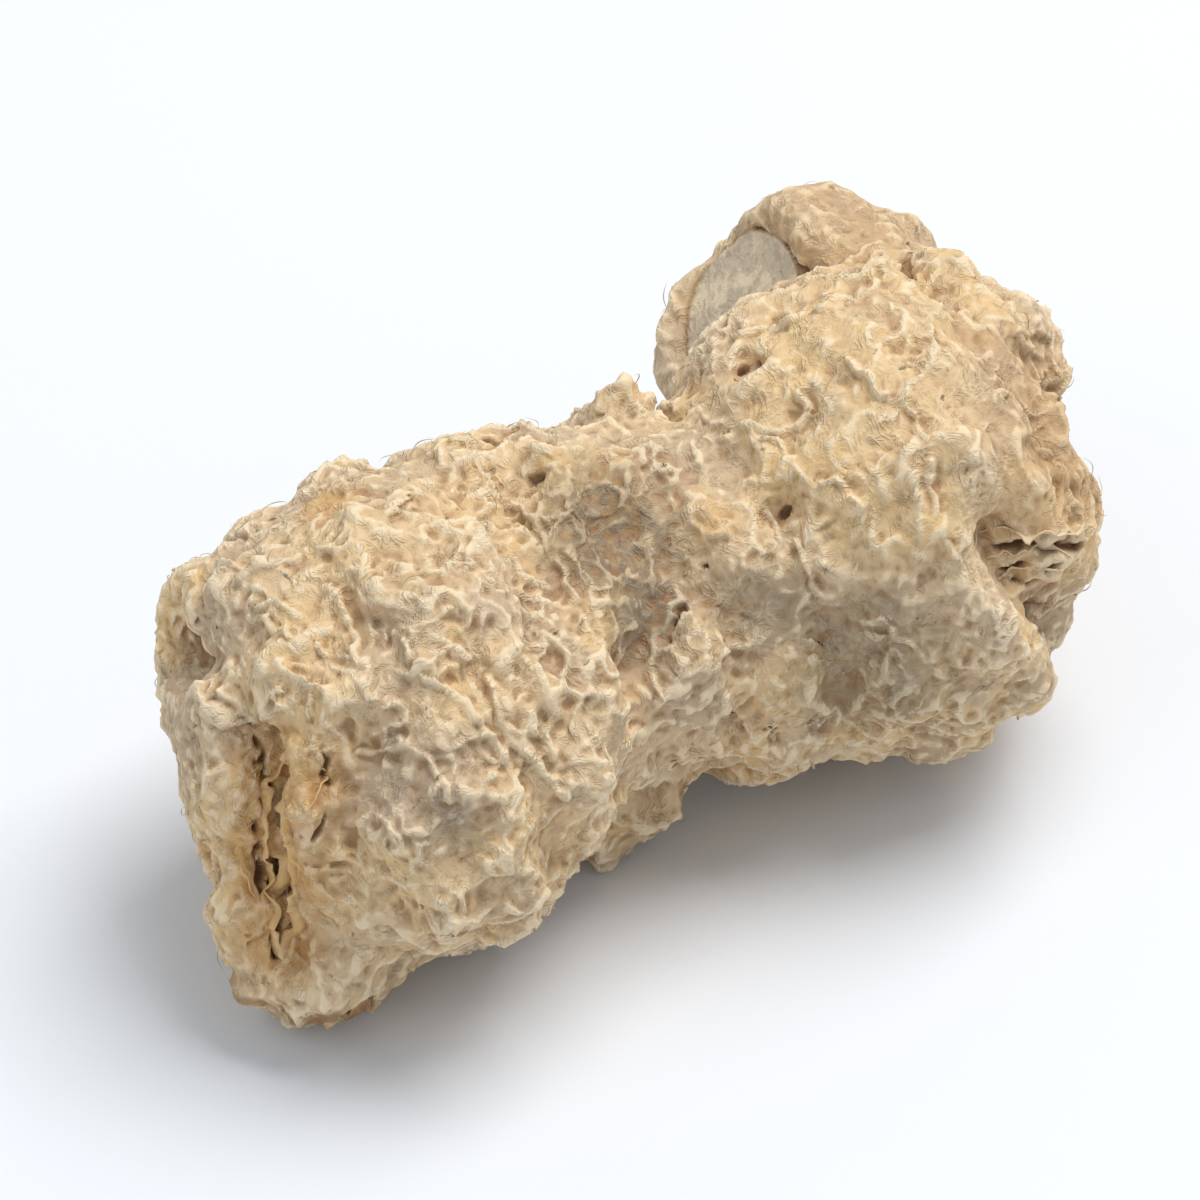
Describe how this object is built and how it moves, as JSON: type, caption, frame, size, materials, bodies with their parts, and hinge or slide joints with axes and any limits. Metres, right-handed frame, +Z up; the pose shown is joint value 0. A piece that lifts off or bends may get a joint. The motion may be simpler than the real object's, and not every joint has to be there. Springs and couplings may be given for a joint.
{
  "type": "dried ginger root",
  "caption": "Dried ginger rhizome of two knobs joined by a waist, with a cut branch stub and a split dry end, lying on a surface.",
  "frame": {"origin": "on the surface that the root lies on, under the middle of its box", "axes": "+X along the rhizome from the split dry end to the knob with the cut stub, +Y towards the stub's side, +Z up"},
  "size_m": [0.042, 0.0252, 0.0196],
  "materials": {
    "dry_skin": "dull papery skin, wrinkled, cream to tan"
  },
  "bodies": {
    "root": {"ginger_root": "dry_skin"}
  },
  "joints": []
}
